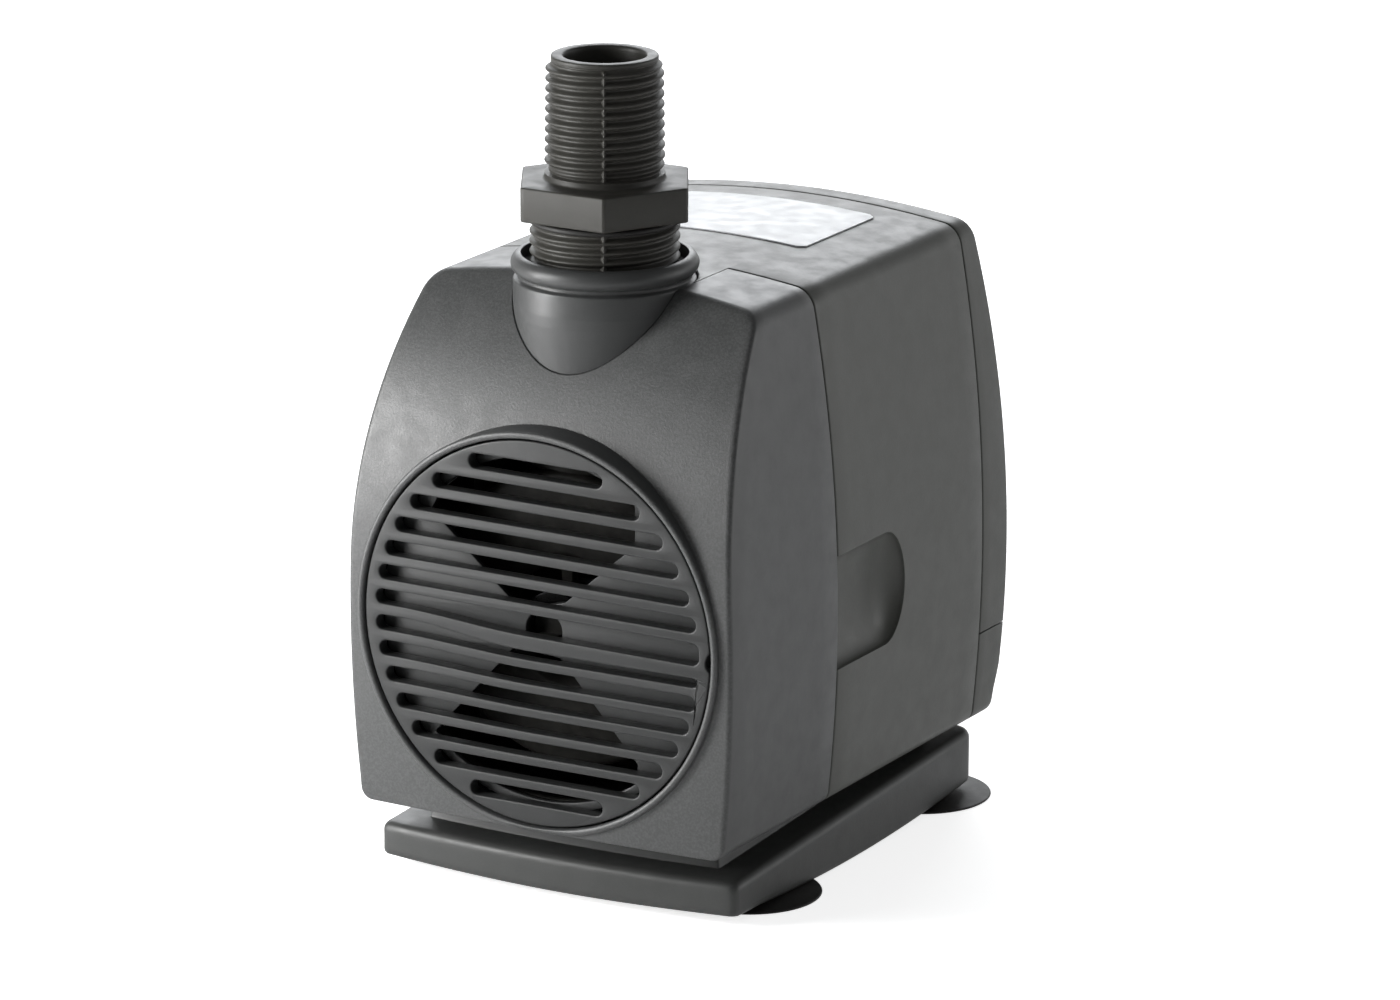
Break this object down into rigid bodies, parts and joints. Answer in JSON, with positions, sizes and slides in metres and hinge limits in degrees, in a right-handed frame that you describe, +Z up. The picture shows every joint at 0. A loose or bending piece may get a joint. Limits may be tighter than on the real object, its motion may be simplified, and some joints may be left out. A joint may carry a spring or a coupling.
{
  "type": "submersible fountain pump",
  "caption": "Submersible fountain pump with a slotted intake dial, threaded upright outlet adapter and a base tray on suction cups.",
  "frame": {"origin": "centre of the footprint (overall length and width, cord included) at floor level, under the suction cups", "axes": "+Z up along the outlet, -Y towards the intake dial, +X to the right as the intake is looked at"},
  "size_m": [0.0828, 0.126, 0.1495],
  "materials": {
    "housing_plastic": "fine satin moulded surface, slightly worn edges",
    "textured_plastic": "spark-eroded speckled texture",
    "dial_plastic": "fine satin moulded surface",
    "spout_plastic": "smooth satin moulded surface",
    "thread_plastic": "satin, moulded threads",
    "base_plastic": "satin moulded surface",
    "black_rubber": "soft matte",
    "cord_rubber": "matte extruded jacket",
    "label_paper": "printed film, semi-matte",
    "stainless": "machined, light sheen",
    "lamination_steel": "stacked sheet edges",
    "copper_wire": "enamelled wire",
    "bobbin_plastic": "plain moulded nylon",
    "ferrite": "ground ferrite",
    "ceramic_white": "polished alumina",
    "impeller_plastic": "plain moulded",
    "potting_resin": "cast epoxy, smooth",
    "wire_brown": "extruded insulation",
    "wire_blue": "extruded insulation"
  },
  "bodies": {
    "pump": {"motor_housing": "housing_plastic", "rear_cover": "housing_plastic", "cord_cover": "housing_plastic", "potting_cap": "potting_resin", "stator_core": "lamination_steel", "coil_bobbin_left": "bobbin_plastic", "coil_bobbin_right": "bobbin_plastic", "coil_winding_left": "copper_wire", "coil_winding_right": "copper_wire", "rotor_shaft": "ceramic_white", "rear_bushing": "black_rubber", "front_bushing": "black_rubber", "volute_casing": "spout_plastic", "volute_o_ring": "black_rubber", "volute_screw_1": "stainless", "volute_screw_2": "stainless", "volute_screw_3": "stainless", "volute_screw_4": "stainless", "base_tray": "base_plastic", "suction_cup_front_left": "black_rubber", "suction_cup_front_right": "black_rubber", "suction_cup_rear_left": "black_rubber", "suction_cup_rear_right": "black_rubber", "base_screw_1": "stainless", "base_screw_2": "stainless", "base_screw_3": "stainless", "base_screw_4": "stainless", "power_cord": "cord_rubber", "cord_grommet": "black_rubber", "lead_wire_brown": "wire_brown", "lead_wire_blue": "wire_blue", "rating_label": "label_paper"},
    "front_cover": {"front_cover": "textured_plastic"},
    "intake_dial": {"intake_dial": "dial_plastic", "dial_shutter": "dial_plastic", "dial_retaining_clip": "stainless"},
    "rotor": {"rotor_magnet": "ferrite", "rotor_sleeve": "bobbin_plastic"},
    "impeller": {"impeller": "impeller_plastic"},
    "adapter_seal": {"adapter_o_ring": "black_rubber"},
    "outlet_adapter": {"outlet_adapter": "thread_plastic"}
  },
  "joints": [
    {"name": "cover_pull", "type": "slide", "parent": "pump", "child": "front_cover", "axis": [0, -1, 0], "range_m": [0, 0.045]},
    {"name": "dial_turn", "type": "hinge", "parent": "front_cover", "child": "intake_dial", "pos_m": [0, -0.0624, 0.05025], "axis": [0, -1, 0], "range_deg": [0, 90]},
    {"name": "rotor_spin", "type": "hinge", "parent": "pump", "child": "rotor", "pos_m": [0, -0.01, 0.05025], "axis": [0, -1, 0], "continuous": true},
    {"name": "impeller_spin", "type": "hinge", "parent": "pump", "child": "impeller", "pos_m": [0, -0.038, 0.05025], "axis": [0, -1, 0], "continuous": true},
    {"name": "adapter_lift", "type": "slide", "parent": "pump", "child": "adapter_seal", "axis": [0, 0, 1], "range_m": [0, 0.0091]},
    {"name": "adapter_turn", "type": "hinge", "parent": "adapter_seal", "child": "outlet_adapter", "pos_m": [0, -0.038, 0.12], "axis": [0, 0, 1], "range_deg": [0, 1800]}
  ],
  "couplings": [
    {"joint": "impeller_spin", "follows": "rotor_spin", "ratio": 1},
    {"joint": "adapter_lift", "follows": "adapter_turn", "m_per_rad": 0.00028871}
  ]
}
